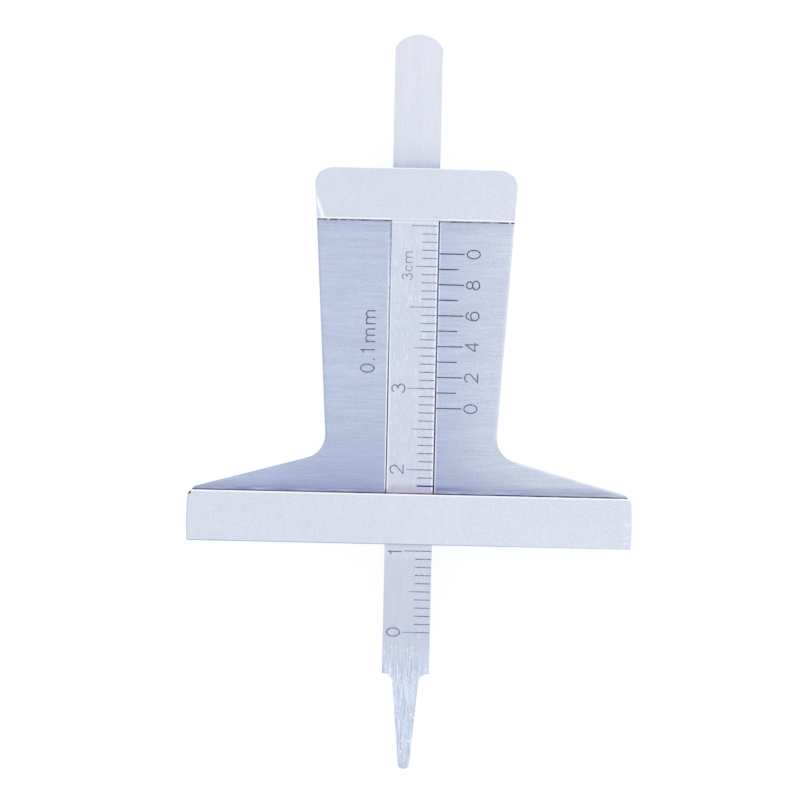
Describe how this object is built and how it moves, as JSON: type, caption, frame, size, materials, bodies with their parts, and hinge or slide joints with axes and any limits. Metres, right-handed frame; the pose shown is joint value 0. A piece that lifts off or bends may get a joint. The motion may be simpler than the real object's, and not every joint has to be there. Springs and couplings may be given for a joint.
{
  "type": "vernier depth gauge",
  "caption": "Small steel vernier depth gauge: a T-shaped frame with a flat measuring face, and a narrow sliding blade with an engraved scale and a tapered point.",
  "frame": {"origin": "middle of the measuring face's back edge, where the plane of the measuring face meets the plane of the frame's flat back", "axes": "+Y up the blade, away from its point, square to the measuring face; +Z out of the engraved front; +X to the right as the scale is read"},
  "size_m": [0.0546, 0.0903, 0.005],
  "materials": {
    "frame_steel": "ground stainless steel, matt",
    "blade_steel": "ground stainless steel, satin along its length",
    "cover_steel": "rolled stainless steel strip",
    "spring_steel": "hardened spring steel",
    "screw_steel": "turned stainless steel"
  },
  "bodies": {
    "frame": {"body": "frame_steel", "rear_cover": "cover_steel", "friction_spring": "spring_steel", "cover_screws": "screw_steel"},
    "blade": {"depth_blade": "blade_steel"}
  },
  "joints": [
    {"name": "blade_slide", "type": "slide", "parent": "frame", "child": "blade", "axis": [0, -1, 0], "range_m": [-0.0276, 0.0024]}
  ]
}
